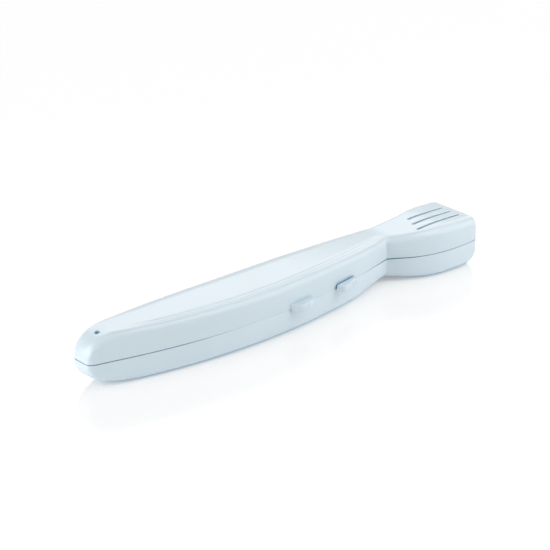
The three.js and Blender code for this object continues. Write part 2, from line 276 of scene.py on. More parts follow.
def front_width(x):
    """Distance of the front wall from the straight back wall."""
    s = sizes()
    neck = (s.neck_x, s.neck_width)
    body = [(run * s.neck_x, share * s.body_width) for run, share in BODY_FRONT_SHARES]
    head_run = LENGTH - s.neck_x
    head = [(s.neck_x + run * head_run, share * s.head_width) for run, share in HEAD_FRONT_SHARES]
    curve = np.vstack([bezier([(0, NOSE_WIDTH)] + body + [neck]), bezier([neck] + head)])
    return np.interp(x, curve[:, 0], curve[:, 1])


def back_set_in(x):
    """How far the back wall is drawn in towards the nose."""
    curve = bezier([(0, NOSE_SET_IN), (BACK_RUN * BACK_BEND_SHARE, 0), (BACK_RUN, 0)])
    return np.interp(x, curve[:, 0], curve[:, 1])


def end_fall(distance, run, drop):
    """Quarter of an ellipse at an end: how far it has fallen at a distance from that end."""
    share = np.clip((run - np.maximum(distance, 0)) / run, 0, 1)
    return drop * (1 - np.sqrt(1 - share * share))


def corner_fall(distance, radius, inset):
    """How far a rounded corner has fallen, on a wall that is drawn in by the inset."""
    left = max(radius - inset, LEAST_RADIUS)
    return end_fall(distance, left, left)


def soft_dip(x, middle, run_before, run_after, depth):
    """One smooth dip, deepest at its middle, with its own run on each side."""
    share = np.abs(x - middle) / np.where(x < middle, run_before, run_after)
    return np.where(share < 1, depth * (1 + np.cos(math.pi * np.minimum(share, 1))) / 2, 0)


def soft_fold(x, middle, run_before, run_after, depth):
    """A dip like a soft fold: steepest just beside its middle, and fading out at both ends."""
    away = np.hypot(x - middle, LID_DIP_ROUND) - LID_DIP_ROUND
    share = np.minimum(away / np.where(x < middle, run_before, run_after), 1)
    return depth * (1 - share) ** LID_DIP_POWER


def front_y(x, inset):
    """Place of the front wall, drawn in by the inset."""
    corners = corner_fall(x - inset, NOSE_FRONT_CORNER, inset)
    corners = corners + corner_fall(LENGTH - inset - x, HEAD_FRONT_CORNER, inset)
    return -AXIS_OFFSET - front_width(x) + inset + corners


def back_y(x, inset):
    """Place of the back wall, drawn in by the inset."""
    corners = corner_fall(x - inset, NOSE_BACK_CORNER, inset)
    corners = corners + corner_fall(LENGTH - inset - x, HEAD_BACK_CORNER, inset)
    return -AXIS_OFFSET - back_set_in(x) - soft_dip(x, *BACK_WAIST) - inset - corners


def rim_level(x, side):
    """Level of a rim. The shells close most tightly between the two finger tabs."""
    share = np.interp(x / LENGTH, PARTING_PLACE_SHARES, PARTING_GAP_SHARES)
    return HINGE.z + side * sizes().gap / 2 * share


def lid_rim():
    """Level of the lid's rim where the parting gap has its full height."""
    return HINGE.z + sizes().gap / 2


def base_rim():
    """Level of the base's rim where the parting gap has its full height."""
    return HINGE.z - sizes().gap / 2


def lid_crown(x, inset):
    """Level of the lid's crown along the case."""
    droop = np.clip(1 - (LENGTH - x) / HEAD_DROOP_RUN, 0, 1)
    nose = end_fall(x - inset, LID_NOSE_RUN - inset, LID_TOP - HINGE.z - LID_NOSE_EDGE - inset)
    end = corner_fall(LENGTH - inset - x, LID_END_RADIUS, inset)
    return LID_TOP - inset - nose - end - soft_fold(x, *LID_DIP) - HEAD_DROOP * droop * droop


def base_bottom(x, inset):
    """Level of the base's bottom along the case."""
    nose = end_fall(x - inset, BASE_NOSE_RUN - inset, HINGE.z - BASE_NOSE_EDGE - inset)
    end = corner_fall(LENGTH - inset - x, BASE_END_RADIUS, inset)
    return inset + nose + end + soft_dip(x, *BASE_LIFT)


def past_neck(x, on_body, on_head):
    """Changes a size of the body into a size of the head just past the neck."""
    return on_body + np.clip((x - sizes().neck_x) / LID_DIP[2], 0, 1) * (on_head - on_body)


def panel_step(x):
    """Height of the panel's steps, which fade in after the nose and out before the neck."""
    after = np.clip((x - PANEL_START) / PANEL_FADE_IN, 0, 1)
    before = np.clip((sizes().neck_x - x) / PANEL_FADE_OUT, 0, 1)
    return sizes().panel_step * after * before


def stations(inset, coarse=1):
    """Places of the sections: close together round the nose, the neck and the end."""
    neck = sizes().neck_x
    nose_end = inset + LID_NOSE_RUN
    head_end = LENGTH - inset - BASE_END_RADIUS
    turn = np.linspace(0, math.pi / 2, NOSE_STATIONS // coarse)
    parts = [
        inset + LID_NOSE_RUN * (1 - np.cos(turn)),
        np.linspace(nose_end, neck - NECK_REACH, BODY_STATIONS // coarse)[1:],
        np.linspace(neck - NECK_REACH, neck + NECK_REACH, NECK_STATIONS)[1:],
        np.linspace(neck + NECK_REACH, head_end, HEAD_STATIONS // coarse)[1:],
        head_end + BASE_END_RADIUS * np.sin(turn[1:]),
    ]
    return np.concatenate(parts)


def trough(inset, side, rim, steps, panel, parting):
    """Sections of one shell from rim to crown and back, with both long edges rounded."""
    s = sizes()
    xs = stations(inset, 1 if inset == 0 else 2)
    crown = lid_crown(xs, inset) if side > 0 else base_bottom(xs, inset)
    front_radius = past_neck(xs, s.lid_radius, s.head_radius) if side > 0 else s.base_radius
    back_radius = past_neck(xs, LID_BODY_BACK_RADIUS, LID_HEAD_BACK_RADIUS) if side > 0 else s.base_radius
    step = panel_step(xs) if panel else np.zeros(len(xs))
    front, back = front_y(xs, inset), back_y(xs, inset)
    height = np.abs(crown - 2 * step - rim)
    most = np.minimum(height * RADIUS_HEIGHT_SHARE, (back - front) * RADIUS_WIDTH_SHARE)
    lean = WALL_DRAFT * height / (LID_TOP - HINGE.z)
    front_round = np.minimum(np.maximum(front_radius - inset, LEAST_RADIUS), most)
    back_round = np.minimum(np.maximum(back_radius - inset, LEAST_RADIUS), most)
    turn = np.linspace(0, math.pi / 2, steps + 1)
    level = rim_level(xs, side) if parting else np.full(len(xs), rim)
    rows = [(front, level)]
    for angle in turn:
        drop = 2 * step + side * front_round * (1 - math.sin(angle))
        rows.append((front + lean + front_round * (1 - math.cos(angle)), crown - drop))
    if panel:
        rows += panel_rows(front + lean + front_round, back - lean - back_round, crown, step)
    for angle in turn[::-1]:
        drop = step + side * back_round * (1 - math.sin(angle))
        rows.append((back - lean - back_round * (1 - math.cos(angle)), crown - drop))
    rows.append((back, level))
    ys = np.array([row[0] for row in rows]).T
    zs = np.array([row[1] for row in rows]).T
    return xs, [list(zip(y, z)) for y, z in zip(ys, zs)]


def panel_rows(front_end, back_end, crown, step):
    """Rows across the raised panel, between the ends of the two rounded edges."""
    room = back_end - front_end
    run = np.minimum(PANEL_STEP_RUN, room * PANEL_STEP_RUN_SHARE)
    ledge = np.minimum(PANEL_LEDGE, room * PANEL_LEDGE_SHARE)
    rise = [(share, share * share * (3 - 2 * share)) for share in PANEL_RISE_SHARES]
    rows = [(front_end + run * share, crown - step * (2 - up)) for share, up in rise]
    outer = front_end + run + ledge
    rows += [(outer + run * share, crown - step * (1 - up)) for share, up in [(0, 0)] + rise]
    inner, far = outer + run, back_end - run
    rows += [(inner + (far - inner) * share, crown) for share in np.linspace(0, 1, PANEL_POINTS)[1:]]
    rows += [(far + run * (1 - share), crown - step * (1 - up)) for share, up in rise[-2::-1]]
    return rows


# Meshes


def piece_from(mesh, name):
    """Turns a bmesh into an object in the scene."""
    bmesh.ops.recalc_face_normals(mesh, faces=mesh.faces)
    data = bpy.data.meshes.new(name)
    mesh.to_mesh(data)
    mesh.free()
    piece = bpy.data.objects.new(name, data)
    bpy.context.scene.collection.objects.link(piece)
    return piece


def loft(name, xs, rings):
    """A closed skin over a row of sections with as many points each."""
    mesh = bmesh.new()
    loops = [[mesh.verts.new((x, y, z)) for y, z in ring] for x, ring in zip(xs, rings)]
    for one, two in zip(loops, loops[1:]):
        for j, vertex in enumerate(one):
            k = (j + 1) % len(one)
            mesh.faces.new((vertex, one[k], two[k], two[j]))
    mesh.faces.new(loops[0])
    mesh.faces.new(loops[-1][::-1])
    return piece_from(mesh, name)


def shell_block(name, inset, side, rim, steps=FILLET_STEPS, panel=False, parting=False):
    """Solid between the rim and the crown or bottom of one shell, drawn in by the inset."""
    xs, rings = trough(inset, side, rim, steps, panel, parting)
    return loft(name, xs, rings)


def plan_block(name, inset, low, high):
    """Upright block with the plan of the case, drawn in by the inset."""
    xs = stations(inset)
    front, back = front_y(xs, inset), back_y(xs, inset)
    rings = [[(f, low), (f, high), (b, high), (b, low)] for f, b in zip(front, back)]
    return loft(name, xs, rings)


def round_edges(mesh, edges, width, segments=ROUNDING_SEGMENTS):
    """Bevels edges to a round of this width."""
    bmesh.ops.bevel(
        mesh, geom=edges, offset=width, segments=segments, profile=0.5, affect="EDGES", clamp_overlap=True
    )


def prism(name, outline, to_place, depth, rounding=0.0, segments=ROUNDING_SEGMENTS):
    """Extrudes an outline of (a, b) points; to_place turns (a, b, along) into a point."""
    mesh = bmesh.new()
    ends = [[mesh.verts.new(to_place(a, b, along)) for a, b in outline] for along in (0.0, depth)]
    count = len(outline)
    for j in range(count):
        k = (j + 1) % count
        mesh.faces.new((ends[0][j], ends[0][k], ends[1][k], ends[1][j]))
    mesh.faces.new(ends[0])
    mesh.faces.new(ends[1][::-1])
    if rounding:
        bmesh.ops.recalc_face_normals(mesh, faces=mesh.faces)
        mesh.normal_update()
        sharp = [edge for edge in mesh.edges if edge.calc_face_angle(0) > ROUNDING_ANGLE]
        round_edges(mesh, sharp, rounding, segments)
    return piece_from(mesh, name)


def bar(name, radius, start, length, y, z):
    """Round bar along X."""
    turns = np.linspace(0, 2 * math.pi, ROUND_SIDES, endpoint=False)
    outline = [(y + radius * math.cos(t), z + radius * math.sin(t)) for t in turns]
    return prism(name, outline, lambda a, b, along: (start + along, a, b), length)


def combine(target, tools, operation):
    """Joins the tools to the target or cuts them out of it, and removes them."""
    group = bpy.data.collections.new("tools")
    for tool in tools:
        group.objects.link(tool)
    modifier = target.modifiers.new("combine", "BOOLEAN")
    modifier.operation = operation
    modifier.operand_type = "COLLECTION"
    modifier.collection = group
    modifier.solver = "EXACT"
    bpy.context.view_layer.update()
    evaluated = target.evaluated_get(bpy.context.evaluated_depsgraph_get())
    result = bpy.data.meshes.new_from_object(evaluated)
    target.modifiers.clear()
    target.data = result
    for tool in tools:
        bpy.data.objects.remove(tool)
    bpy.data.collections.remove(group)


def soften_rims(piece, level, width):
    """Rounds the convex edges that lie close to this level."""
    mesh = bmesh.new()
    mesh.from_mesh(piece.data)
    bmesh.ops.remove_doubles(mesh, verts=mesh.verts, dist=MERGE_DISTANCE)
    mesh.normal_update()

    def is_rim(edge):
        flat = all(abs(v.co.z - level) < sizes().gap / 2 for v in edge.verts)
        return flat and edge.is_convex and edge.calc_face_angle(0) > RIM_ANGLE

    rims = [edge for edge in mesh.edges if edge.is_manifold and is_rim(edge)]
    round_edges(mesh, rims, width)
    bmesh.ops.dissolve_degenerate(mesh, dist=MERGE_DISTANCE, edges=mesh.edges)
    drop_folds(mesh)
    mesh.to_mesh(piece.data)
    mesh.free()


def drop_folds(mesh):
    """Splits the many-sided faces into triangles and deletes pairs that lie back to back."""
    bmesh.ops.triangulate(mesh, faces=[face for face in mesh.faces if len(face.verts) > 4])
    same = {}
    for face in mesh.faces:
        same.setdefault(frozenset(face.verts), []).append(face)
    folded = [face for faces in same.values() if len(faces) > 1 for face in faces]
    bmesh.ops.delete(mesh, geom=folded, context="FACES_ONLY")


def finish_piece(piece, name, body, node, material):
    """Places a finished piece, smooths it, gives it its material, ties it to its body and hides the node
    that it stands for.
    """
    piece.name = name
    piece.data.name = name
    piece.data.transform(PLACE)
    piece.data.shade_smooth()
    piece.data.set_sharp_from_angle(angle=SHADING_ANGLE)
    piece.data.materials.clear()
    piece.data.materials.append(material)
    for polygon in piece.data.polygons:
        polygon.material_index = 0
    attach(piece, body)
    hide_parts(node)
    return piece


# Hinge knuckles


def knuckle_outline(side):
    """Barrel whose web runs into the back wall, below the rim for the base and above it for the lid."""
    root = -AXIS_OFFSET - KNUCKLE_ROOT_DEPTH
    flat = side * sizes().gap / 2
    begin = math.asin(flat / KNUCKLE_RADIUS)
    if side > 0:
        turns = np.linspace(math.pi - begin, 2 * math.pi + math.pi / 2, KNUCKLE_POINTS)
    else:
        turns = np.linspace(math.pi - begin, -math.pi / 2, KNUCKLE_POINTS)
    arc = [(KNUCKLE_RADIUS * math.cos(t), HINGE.z + KNUCKLE_RADIUS * math.sin(t)) for t in turns]
    foot = (root, HINGE.z + side * (KNUCKLE_RADIUS + KNUCKLE_ROOT_DROP))
    return [(root, HINGE.z + flat)] + arc + [foot]


def knuckle(name, start, side):
    """One knuckle, with softly rounded edges."""
    outline = knuckle_outline(side)
    return prism(name, outline, lambda a, b, along: (start + along, a, b), KNUCKLE_LENGTH, KNUCKLE_ROUND)


def hinge_starts():
    """Where each hinge starts, from the pins in the frame."""
    return [low.x - LID_LOW.x for low, high in PIN_BOXES.values()]


def knuckle_bores():
    """Cutters for the bores that the pins run in."""
    low, high = PIN_BOXES["hinge_pin_nose_side"]
    length = high.x - low.x + 2 * OVERRUN
    radius = PIN_RADIUS + PIN_CLEARANCE
    return [bar("bore", radius, start - OVERRUN, length, 0, HINGE.z) for start in hinge_starts()]


# Finger tabs


def tab_lug(name, start, length, nose_slant, head_slant, rise):
    """A lug on the front wall, slanted at both ends, with rounded corners and edges."""
    reach = sizes().tab_reach
    end = start + length
    wall_start, wall_end = float(front_y(start, 0)), float(front_y(end, 0))
    nose_share = 1 - TAB_CORNER / math.hypot(nose_slant, reach)
    head_share = 1 - TAB_CORNER / math.hypot(head_slant, reach)
    nose_corner = (start + nose_slant, wall_start - reach)
    head_corner = (end - head_slant, wall_end - reach)
    nose_edge = (start + nose_slant * nose_share, wall_start - reach * nose_share)
    head_edge = (end - head_slant * head_share, wall_end - reach * head_share)
    nose_turn = [nose_edge, nose_corner, (nose_corner[0] + TAB_CORNER, nose_corner[1])]
    head_turn = [(head_corner[0] - TAB_CORNER, head_corner[1]), head_corner, head_edge]
    outline = [(start, wall_start + TAB_ROOT_DEPTH), (start, wall_start)]
    outline += [tuple(point) for point in bezier(nose_turn, TAB_CORNER_POINTS)]
    outline += [tuple(point) for point in bezier(head_turn, TAB_CORNER_POINTS)]
    outline += [(end, wall_end), (end, wall_end + TAB_ROOT_DEPTH)]
    low, height = HINGE.z - TAB_DROP, TAB_DROP + rise

    def to_place(a, b, along):
        return (a, b, low + along)

    return prism(name, outline, to_place, height, sizes().tab_round, TAB_ROUND_SEGMENTS)


def lid_tab():
    """The lid's tab, which hangs clear of the base's wall."""
    lug = tab_lug("lid_tab", *LID_TAB)
    foot = HINGE.z - TAB_DROP - OVERRUN
    combine(lug, [plan_block("relief", -LID_TAB_CLEARANCE, foot, lid_rim())], "DIFFERENCE")
    return lug


def base_tab():
    """The base's tab, which stands clear of the lid's wall."""
    lug = tab_lug("base_tab", *BASE_TAB)
    top = HINGE.z + BASE_TAB[-1] + OVERRUN
    combine(lug, [plan_block("relief", -BASE_TAB_CLEARANCE, base_rim(), top)], "DIFFERENCE")
    return lug


# Vents and hole


def vent_cutter(number):
    """Cutter for one vent: straight walls with a rounded lip where it meets the crown."""
    half = sizes().slot_width / 2
    middle = -AXIS_OFFSET - SLOT_INSET + number * SLOT_PITCH
    start = SLOT_END - SLOT_LENGTH + number * SLOT_STAGGER
    low = lid_rim() + LIP_HEIGHT
    wide = half + SLOT_ROUND
    turn = np.linspace(0, math.pi / 2, SLOT_END_POINTS)
    xs = np.concatenate([
        start + wide * (1 - np.cos(turn)) - SLOT_ROUND,
        np.linspace(start + half, SLOT_END - half, SLOT_POINTS)[1:-1],
        SLOT_END + SLOT_ROUND - wide * (1 - np.cos(turn[::-1])),
    ])
    away = np.maximum(start + half - xs, xs - (SLOT_END - half))
    rings = []
    narrow = 1 - SLOT_TAPER_SHARE * np.clip((xs - start) / (SLOT_END - start), 0, 1) ** 2
    for x, out, share in zip(xs, np.maximum(away, 0), narrow):
        top = float(lid_crown(np.array([x]), 0)[0])

        def reach(radius):
            return share * math.sqrt(max(radius * radius - out * out, SLOT_LEAST_HALF ** 2))

        right = [(reach(half), low), (reach(half), top - SLOT_ROUND)]
        for angle in np.linspace(0, math.pi / 2, SLOT_LIP_POINTS)[1:]:
            radius = half + SLOT_ROUND * (1 - math.cos(angle))
            right.append((reach(radius), top - SLOT_ROUND * (1 - math.sin(angle))))
        right.append((reach(wide), top + OVERRUN))
        left = [(-y, z) for y, z in right[::-1]]
        rings.append([(middle + y, z) for y, z in right + left])
    return loft("vent", xs, rings)


def hole_cutter():
    """Cutter for the hole in the nose: a round hole with a rounded lip, square to the dome."""
    x, y = HOLE_X, -AXIS_OFFSET - HOLE_INSET
    before, top, after = lid_crown(x + HOLE_SLOPE_REACH * np.array([-1, 0, 1]), 0)
    slope = float(after - before) / (2 * HOLE_SLOPE_REACH)
    radius = sizes().hole_radius
    profile = [(radius, -HOLE_DEPTH), (radius, -HOLE_ROUND)]
    for angle in np.linspace(0, math.pi / 2, HOLE_LIP_POINTS)[1:]:
        out, down = HOLE_ROUND * (1 - math.cos(angle)), HOLE_ROUND * (1 - math.sin(angle))
        profile.append((radius + out, -down))
    profile.append((radius + HOLE_ROUND, OVERRUN))
    turns = np.linspace(0, 2 * math.pi, ROUND_SIDES, endpoint=False)
    rings = [[(r * math.cos(t), r * math.sin(t)) for t in turns] for r, height in profile]
    cutter = loft("hole", [height for r, height in profile], rings)
    tilt = Matrix.Rotation(-math.atan(slope), 4, "Y")
    upright = Matrix(((0, 0, -1, 0), (0, 1, 0, 0), (1, 0, 0, 0), (0, 0, 0, 1)))
    cutter.data.transform(Matrix.Translation((x, y, top)) @ tilt @ upright)
    return cutter


# Ribs that carry the brush


def rib(place):
    """Low rib across the base with a shallow dish for the handle."""
    s = sizes()
    at = np.array([place])
    floor = float(base_bottom(at, s.wall)[0])
    front, back = float(front_y(at, s.wall)[0]) - RIB_ROOT, float(back_y(at, s.wall)[0]) + RIB_ROOT
    top = floor + RIB_HEIGHT
    middle = (front + back) / 2
    half = (back - front) / 2 - s.base_radius
    radius = (half * half + RIB_DISH * RIB_DISH) / (2 * RIB_DISH)
    spread = math.asin(half / radius)
    arc = [
        (middle + radius * math.sin(t), top - RIB_DISH + radius * (1 - math.cos(t)))
        for t in np.linspace(spread, -spread, RIB_DISH_POINTS)
    ]
    foot = s.base_radius
    outline = [(front, top), (front, floor + foot - s.wall), (front + foot, floor - RIB_ROOT)]
    outline += [(back - foot, floor - RIB_ROOT), (back, floor + foot - s.wall), (back, top)] + arc
    start = place - RIB_THICKNESS / 2
    return prism("rib", outline, lambda a, b, along: (start + along, a, b), RIB_THICKNESS)


# Materials

# Plastic: scales of its patterns per metre, what each does to colour, roughness and bump, and the painted
# shade in its crevices
MOTTLE_SCALE = 38.0
MOTTLE_DETAIL = 3.0
HANDLED_SCALE = 60.0
RIPPLE_SCALE = 210.0
RIPPLE_DETAIL = 1.0
GRAIN_SCALE = 2600.0
SCUFF_SCALES = (260.0, 5200.0, 2600.0)
SCUFF_DETAIL = 1.0
SCUFF_SLANT = (0.0, 0.0, math.radians(24))
SCUFF_STOPS = ((0.66, 0.0), (0.74, 1.0))
# Painted shade: how many occlusion samples, how far they reach, and how the shut-in share becomes the deeper
# blue of crevices
PLASTIC_OCCLUSION_SAMPLES = 8
PAINTED_SHADE_REACH = 3 * MM
PAINTED_SHADE_GAIN = 2.4
PAINTED_SHADE_START = 0.9
PLASTIC_ROUGHNESS = 0.14
HANDLED_ROUGHNESS = 0.06
SCUFF_ROUGHNESS = 0.05
PLASTIC_IOR = 1.49
BUMP_STRENGTH = 0.18
BUMP_HEIGHT = 0.06 * MM
GRAIN_HEIGHT_SHARE = 0.06
SCUFF_DEPTH_SHARE = 0.04

# Drawn steel: scales of its lines per metre, and its roughness
DRAWN_SCALES = (300.0, 9000.0, 9000.0)
STEEL_ROUGHNESS = 0.24
DRAWN_ROUGHNESS = 0.18

# Scale of a noise whose place is scaled already, and sockets of a Mix node for colours
SCALED_ALREADY = 1.0
MIX_FACTOR, MIX_FIRST, MIX_SECOND, MIX_COLOUR = 0, 6, 7, 2


class Wire:
    """A socket in a node tree. An expression on it adds Math nodes."""

    def __init__(self, tree, socket):
        self.tree = tree
        self.socket = socket

    def math(self, operation, first, second):
        return self.tree.node("ShaderNodeMath", {"operation": operation}, {0: first, 1: second})

    def __add__(self, other):
        return self.math("ADD", self, other)

    __radd__ = __add__

    def __mul__(self, other):
        return self.math("MULTIPLY", self, other)

    __rmul__ = __mul__

    def __sub__(self, other):
        return self.math("SUBTRACT", self, other)

    def __rsub__(self, other):
        return self.math("SUBTRACT", other, self)


class Tree:
    """A node tree that is written as calls."""

    def __init__(self, tree):
        self.tree = tree
        tree.nodes.clear()

    def node(self, kind, settings=None, sockets=None, output=0):
        """Adds a node: its settings first, then the values or links of its sockets."""
        made = self.tree.nodes.new(kind)
        for key, value in (settings or {}).items():
            if key == "stops":
                ramp = made.color_ramp
                for element, (position, shade) in zip(ramp.elements, value):
                    element.position = position
                    element.color = (shade, shade, shade, 1)
            else:
                setattr(made, key, value)
        for key, value in (sockets or {}).items():
            if isinstance(value, Wire):
                self.tree.links.new(value.socket, made.inputs[key])
            else:
                made.inputs[key].default_value = value
        return Wire(self, made.outputs[output]) if made.outputs else None


def new_material(name):
    """An empty material and its node tree."""
    material = bpy.data.materials.new(name)
    material.use_nodes = True
    return material, Tree(material.node_tree)


def noise(tree, place, scale, detail=2.0):
    """Noise from 0 to 1 at this scale per metre."""
    sockets = {"Vector": place, "Scale": scale, "Detail": detail}
    return tree.node("ShaderNodeTexNoise", {"noise_dimensions": "3D"}, sockets)


def mix_colours(tree, factor, first, second):
    """A colour between two others; each is a socket or red, green and blue."""
    pair = [value if isinstance(value, Wire) else (*value, 1) for value in (first, second)]
    sockets = {MIX_FACTOR: factor, MIX_FIRST: pair[0], MIX_SECOND: pair[1]}
    return tree.node("ShaderNodeMix", {"data_type": "RGBA"}, sockets, MIX_COLOUR)


def occlusion(tree, samples, distance):
    """How open the surroundings of a point are, from 0 to 1."""
    sockets = {"Distance": distance}
    return tree.node("ShaderNodeAmbientOcclusion", {"samples": samples}, sockets, "AO")


def shell_plastic(name):
    """Glossy moulded plastic: faint mottling, soft ripples from the mould, a few hairline scuffs, and
    painted shade, a deeper blue, in crevices and narrow gaps.
    """
    material, tree = new_material(name)
    place = tree.node("ShaderNodeTexCoord", output="Object")
    mottle = noise(tree, place, MOTTLE_SCALE, MOTTLE_DETAIL)
    tint = mix_colours(tree, mottle, colours().shell, colours().shell_shade)
    # Painted shade: where occlusion finds the plastic shut in, the colour turns to the deeper crevice blue
    open_air = occlusion(tree, PLASTIC_OCCLUSION_SAMPLES, PAINTED_SHADE_REACH)
    painted_crevice_shade = tree.node("ShaderNodeClamp", None, {"Value": (1 - open_air) * PAINTED_SHADE_GAIN - PAINTED_SHADE_START})
    colour = mix_colours(tree, painted_crevice_shade, tint, colours().crevice_shade_painted)
    stretched = tree.node("ShaderNodeMapping", {"vector_type": "POINT"}, {
        "Vector": place,
        "Rotation": SCUFF_SLANT,
        "Scale": SCUFF_SCALES,
    })
    scuffs = noise(tree, stretched, SCALED_ALREADY, SCUFF_DETAIL)
    hairlines = tree.node("ShaderNodeValToRGB", {"stops": SCUFF_STOPS}, {"Fac": scuffs})
    handled = noise(tree, place, HANDLED_SCALE)
    roughness = PLASTIC_ROUGHNESS + HANDLED_ROUGHNESS * handled + SCUFF_ROUGHNESS * hairlines
    ripple = noise(tree, place, RIPPLE_SCALE, RIPPLE_DETAIL)
    grain = noise(tree, place, GRAIN_SCALE)
    bump = tree.node("ShaderNodeBump", None, {
        "Strength": BUMP_STRENGTH,
        "Distance": BUMP_HEIGHT,
        "Height": ripple + GRAIN_HEIGHT_SHARE * grain - SCUFF_DEPTH_SHARE * hairlines,
    })
    shader = tree.node("ShaderNodeBsdfPrincipled", None, {
        "Base Color": colour,
        "Roughness": roughness,
        "IOR": PLASTIC_IOR,
        "Normal": bump,
    })
    tree.node("ShaderNodeOutputMaterial", None, {"Surface": shader})
    return material


def pin_steel():
    """Drawn wire: bright metal with fine lines along its length."""
    material, tree = new_material("pin_steel")
    place = tree.node("ShaderNodeTexCoord", output="Object")
    drawn = tree.node("ShaderNodeMapping", {"vector_type": "POINT"}, {
        "Vector": place,
        "Scale": DRAWN_SCALES,
    })
    lines = noise(tree, drawn, SCALED_ALREADY)
    shader = tree.node("ShaderNodeBsdfPrincipled", None, {
        "Base Color": (*colours().pin, 1),
        "Metallic": 1.0,
        "Roughness": STEEL_ROUGHNESS + DRAWN_ROUGHNESS * lines,
    })
    tree.node("ShaderNodeOutputMaterial", None, {"Surface": shader})
    return material


# Shells


def build_base():
    """Lower shell: lip, tab and outer knuckles joined on, hollow and bores cut out, ribs put in."""
    s = sizes()
    shell = shell_block("base_outer", 0, -1, base_rim(), parting=True)
    inset = RIM_STEP + LIP_CLEARANCE
    added = [plan_block("lip", inset, base_rim() - LIP_ROOT, base_rim() + LIP_HEIGHT), base_tab()]
    for start in hinge_starts():
        for shift in (0, 2 * (KNUCKLE_LENGTH + KNUCKLE_GAP)):
            added.append(knuckle("knuckle", start + shift, -1))
    combine(shell, added, "UNION")
    hollow_top = base_rim() + LIP_HEIGHT + OVERRUN
    hollow = shell_block("base_hollow", s.wall, -1, hollow_top, HOLLOW_FILLET_STEPS)
    combine(shell, [hollow] + knuckle_bores(), "DIFFERENCE")
    combine(shell, [rib(place) for place in RIB_PLACES], "UNION")
    soften_rims(shell, base_rim(), s.rim_round)
    soften_rims(shell, base_rim() + LIP_HEIGHT, LIP_ROUND)
    plastic = shell_plastic("base_plastic")
    return finish_piece(shell, "base_moulding", "base", "base_shell", plastic)


def build_lid():
    """Upper shell: tab and middle knuckles joined on, hollow, step, hole, vents and bores cut out."""
    s = sizes()
    shell = shell_block("lid_outer", 0, 1, lid_rim(), panel=True, parting=True)
    shift = KNUCKLE_LENGTH + KNUCKLE_GAP
    added = [lid_tab()] + [knuckle("knuckle", start + shift, 1) for start in hinge_starts()]
    combine(shell, added, "UNION")
    cutters = [
        shell_block("lid_hollow", s.wall, 1, lid_rim() - OVERRUN, HOLLOW_FILLET_STEPS),
        plan_block("step", RIM_STEP, lid_rim() - OVERRUN, lid_rim() + LIP_HEIGHT + LIP_CLEARANCE),
        hole_cutter(),
    ]
    cutters += [vent_cutter(number) for number in (-1, 0, 1)] + knuckle_bores()
    combine(shell, cutters, "DIFFERENCE")
    soften_rims(shell, lid_rim(), s.rim_round)
    plastic = shell_plastic("lid_plastic")
    return finish_piece(shell, "lid_moulding", "lid", "lid_shell", plastic)


def build_pin(node, material):
    """Hinge pin with softly domed ends."""
    low, high = PIN_BOXES[node]
    length = high.x - low.x
    turn = np.linspace(0, math.pi / 2, PIN_DOME_POINTS)
    ends = [(PIN_DOME * (1 - math.cos(t)), PIN_RADIUS - PIN_DOME * (1 - math.sin(t))) for t in turn]
    profile = ends + [(length - along, radius) for along, radius in ends[::-1]]
    turns = np.linspace(0, 2 * math.pi, ROUND_SIDES, endpoint=False)
    rings = [[(r * math.cos(t), HINGE.z + r * math.sin(t)) for t in turns] for along, r in profile]
    start = low.x - LID_LOW.x
    pin = loft("pin", [start + along for along, radius in profile], rings)
    return finish_piece(pin, node + "_wire", "base", node, material)


# Stage

CAMERA_AZIMUTH = -41.3
CAMERA_ELEVATION = 23.8
CAMERA_DISTANCE = 831 * MM
CAMERA_FOCUS_PX = 1956
CAMERA_CLIP = 10 * MM
IMAGE_WIDTH_PX = 550
SENSOR_WIDTH = 36
LOOK_X = 111 * MM
LOOK_BEHIND_WALL = 1.9 * MM
LOOK_ABOVE_HINGE = 0.26 * MM

# Soft boxes: name, direction from the case, distance, width and height in metres, and power in watts
SOFT_BOXES = (
    ("left", (-1.0, 0.2, 0.3), 1.0, 1.2, 1.0, 11.4),
    ("right_tall", (0.62, -0.5, 0.6), 0.9, 0.7, 1.1, 5.5),
    ("front_high", (0.2, -0.7, 0.9), 1.0, 0.9, 0.9, 1.5),
    ("overhead", (0.0, -0.1, 1.0), 1.0, 1.0, 1.0, 0.6),
    ("back_right", (0.552, 0.592, 0.588), 1.2, 1.4, 0.6, 4.4),
)
AMBIENT = 0.04

# Share of plain white in what the camera sees of the floor: close to the case, and away from it
FLOOR_WHITE_NEAR = 0.3
FLOOR_WHITE_FAR = 0.94
FLOOR_SHADOW_REACH = 14 * MM
FLOOR_OCCLUSION_SAMPLES = 16
FLOOR_GLOSS_IOR = 1.45
FLOOR_GLOSS_ROUGHNESS = 0.13
FLOOR_HALF_WIDTH = 4.0
FLOOR_DROP = 0.02 * MM
PLAIN_WHITE = {"Color": (1, 1, 1, 1), "Strength": 1.0}


def direction(azimuth, elevation):
    """Unit vector from the object to a camera at this azimuth and elevation, in degrees."""
    a, e = math.radians(azimuth), math.radians(elevation)
    return Vector((math.sin(a) * math.cos(e), -math.cos(a) * math.cos(e), math.sin(e)))


def add_camera():
    """Camera at the picture's angle and distance."""
    target = PLACE @ Vector((LOOK_X, -AXIS_OFFSET + LOOK_BEHIND_WALL, HINGE.z + LOOK_ABOVE_HINGE))
    back = direction(CAMERA_AZIMUTH, CAMERA_ELEVATION)
    data = bpy.data.cameras.new("camera")
    data.sensor_width = SENSOR_WIDTH
    data.sensor_fit = "HORIZONTAL"
    data.lens = CAMERA_FOCUS_PX * SENSOR_WIDTH / IMAGE_WIDTH_PX
    data.clip_start = CAMERA_CLIP
    camera = bpy.data.objects.new("camera", data)
    camera.location = target + CAMERA_DISTANCE * back
    camera.rotation_euler = back.to_track_quat("Z", "Y").to_euler()
    bpy.context.scene.collection.objects.link(camera)
    bpy.context.scene.camera = camera


